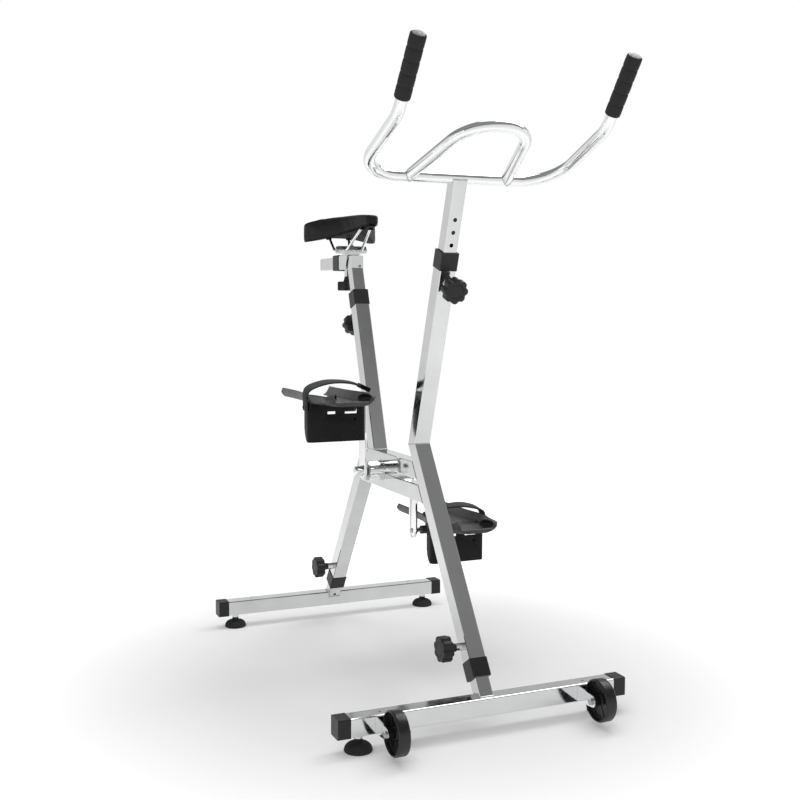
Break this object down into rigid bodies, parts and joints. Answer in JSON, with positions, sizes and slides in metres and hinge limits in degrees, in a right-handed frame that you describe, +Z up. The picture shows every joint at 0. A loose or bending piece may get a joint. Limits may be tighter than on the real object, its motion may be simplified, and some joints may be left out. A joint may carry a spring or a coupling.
{
  "type": "aqua bike",
  "caption": "Stainless pool exercise bike with an X frame, telescopic legs, tilted handlebar with an arch, sliding saddle, crank with scoop pedals, and transport wheels.",
  "frame": {"origin": "on the floor, under the middle of the bike's box", "axes": "+Z up, -Y the way the rider faces, +X to the rider's left"},
  "size_m": [0.6918, 1.2124, 1.4244],
  "materials": {
    "tube_steel": "polished stainless steel square tube",
    "polished_steel": "bright polished stainless steel",
    "black_plastic": "satin black moulded plastic",
    "pedal_plastic": "satin dark grey moulded plastic",
    "strap_rubber": "dark grey flexible rubber",
    "foot_rubber": "black rubber",
    "wheel_rubber": "black rubber and plastic",
    "grip_foam": "matt black ribbed foam rubber",
    "saddle_cover": "matt black moulded saddle cover"
  },
  "bodies": {
    "main_frame": {"front_leg_upper": "tube_steel", "front_leg_collar": "black_plastic", "rear_leg_upper": "tube_steel", "rear_leg_collar": "black_plastic", "handlebar_post": "tube_steel", "handlebar_post_collar": "black_plastic", "seat_tube": "tube_steel", "seat_tube_collar": "black_plastic", "upper_cross_tube": "tube_steel", "lower_cross_tube": "tube_steel", "bottom_bracket_shell": "polished_steel", "left_bearing_cup": "polished_steel", "right_bearing_cup": "polished_steel"},
    "front_base": {"front_leg_lower": "tube_steel", "front_stabiliser": "tube_steel", "front_right_end_cap": "black_plastic", "front_left_end_cap": "black_plastic", "right_wheel_fork": "polished_steel", "left_wheel_fork": "polished_steel", "right_wheel_bolt": "polished_steel", "left_wheel_bolt": "polished_steel"},
    "rear_base": {"rear_leg_lower": "tube_steel", "rear_stabiliser": "tube_steel", "rear_right_end_cap": "black_plastic", "rear_left_end_cap": "black_plastic"},
    "handlebar": {"handlebar_stem": "tube_steel", "handlebar_bar": "polished_steel", "handlebar_arch": "polished_steel", "right_grip": "grip_foam", "left_grip": "grip_foam"},
    "seat_post": {"seat_post": "tube_steel"},
    "saddle": {"saddle_slider": "tube_steel", "saddle_slider_collar": "black_plastic", "saddle_clamp": "polished_steel", "saddle_rails": "polished_steel", "saddle_pan": "black_plastic", "saddle_cushion": "saddle_cover"},
    "crank": {"crank_axle": "polished_steel", "right_crank_arm": "polished_steel", "left_crank_arm": "polished_steel", "right_pedal_spindle": "polished_steel", "left_pedal_spindle": "polished_steel"},
    "right_pedal": {"right_pedal_tray": "pedal_plastic", "right_pedal_scoop": "black_plastic", "right_pedal_strap": "strap_rubber"},
    "right_wheel": {"right_wheel": "wheel_rubber"},
    "left_pedal": {"left_pedal_tray": "pedal_plastic", "left_pedal_scoop": "black_plastic", "left_pedal_strap": "strap_rubber"},
    "left_wheel": {"left_wheel": "wheel_rubber"},
    "front_right_foot": {"front_right_foot": "foot_rubber"},
    "front_left_foot": {"front_left_foot": "foot_rubber"},
    "rear_right_foot": {"rear_right_foot": "foot_rubber"},
    "rear_left_foot": {"rear_left_foot": "foot_rubber"},
    "front_leg_knob": {"front_leg_knob": "black_plastic"},
    "rear_leg_knob": {"rear_leg_knob": "black_plastic"},
    "handlebar_knob": {"handlebar_knob": "black_plastic"},
    "seat_post_knob": {"seat_post_knob": "black_plastic"},
    "saddle_slider_knob": {"saddle_slider_knob": "black_plastic"}
  },
  "joints": [
    {"name": "front_leg_height", "type": "slide", "parent": "main_frame", "child": "front_base", "axis": [0, -0.5592, -0.829], "range_m": [0, 0.15]},
    {"name": "rear_leg_height", "type": "slide", "parent": "main_frame", "child": "rear_base", "axis": [0, 0.5592, -0.829], "range_m": [0, 0.15]},
    {"name": "handlebar_height", "type": "slide", "parent": "main_frame", "child": "handlebar", "axis": [0, -0.3223, 0.9466], "range_m": [-0.0876, 0.1168]},
    {"name": "saddle_height", "type": "slide", "parent": "main_frame", "child": "seat_post", "axis": [0, 0.3223, 0.9466], "range_m": [-0.05, 0.146]},
    {"name": "saddle_reach", "type": "slide", "parent": "seat_post", "child": "saddle", "axis": [0, 1, 0], "range_m": [0, 0.11]},
    {"name": "crank_turn", "type": "hinge", "parent": "main_frame", "child": "crank", "pos_m": [0, 0.12675, 0.49665], "axis": [1, 0, 0], "continuous": true},
    {"name": "right_pedal_turn", "type": "hinge", "parent": "crank", "child": "right_pedal", "pos_m": [-0.165, 0.12675, 0.66165], "axis": [1, 0, 0], "continuous": true},
    {"name": "left_pedal_turn", "type": "hinge", "parent": "crank", "child": "left_pedal", "pos_m": [0.165, 0.12675, 0.33165], "axis": [1, 0, 0], "continuous": true},
    {"name": "right_wheel_turn", "type": "hinge", "parent": "front_base", "child": "right_wheel", "pos_m": [-0.242, -0.49915, 0.0583], "axis": [1, 0, 0], "continuous": true},
    {"name": "left_wheel_turn", "type": "hinge", "parent": "front_base", "child": "left_wheel", "pos_m": [0.242, -0.49915, 0.0583], "axis": [1, 0, 0], "continuous": true},
    {"name": "front_right_foot_screw", "type": "hinge", "parent": "front_base", "child": "front_right_foot", "pos_m": [-0.294, -0.41885, 0.02], "axis": [0, 0, 1], "range_deg": [-360, 360]},
    {"name": "front_left_foot_screw", "type": "hinge", "parent": "front_base", "child": "front_left_foot", "pos_m": [0.294, -0.41885, 0.02], "axis": [0, 0, 1], "range_deg": [-360, 360]},
    {"name": "rear_right_foot_screw", "type": "hinge", "parent": "rear_base", "child": "rear_right_foot", "pos_m": [-0.294, 0.56715, 0.02], "axis": [0, 0, 1], "range_deg": [-360, 360]},
    {"name": "rear_left_foot_screw", "type": "hinge", "parent": "rear_base", "child": "rear_left_foot", "pos_m": [0.294, 0.56715, 0.02], "axis": [0, 0, 1], "range_deg": [-360, 360]},
    {"name": "front_leg_knob_screw", "type": "hinge", "parent": "main_frame", "child": "front_leg_knob", "pos_m": [0, -0.34836, 0.16665], "axis": [-1, 0, 0], "range_deg": [0, 720]},
    {"name": "rear_leg_knob_screw", "type": "hinge", "parent": "main_frame", "child": "rear_leg_knob", "pos_m": [0, 0.49665, 0.16665], "axis": [-1, 0, 0], "range_deg": [0, 720]},
    {"name": "handlebar_knob_screw", "type": "hinge", "parent": "main_frame", "child": "handlebar_knob", "pos_m": [0, -0.19786, 0.9718], "axis": [0, -0.9466, -0.3223], "range_deg": [0, 720]},
    {"name": "seat_post_knob_screw", "type": "hinge", "parent": "main_frame", "child": "seat_post_knob", "pos_m": [0, 0.3176, 0.88793], "axis": [0, 0.9466, -0.3223], "range_deg": [0, 720]},
    {"name": "saddle_slider_knob_screw", "type": "hinge", "parent": "saddle", "child": "saddle_slider_knob", "pos_m": [0, 0.42218, 1.0375], "axis": [0, 0, -1], "range_deg": [0, 720]}
  ]
}
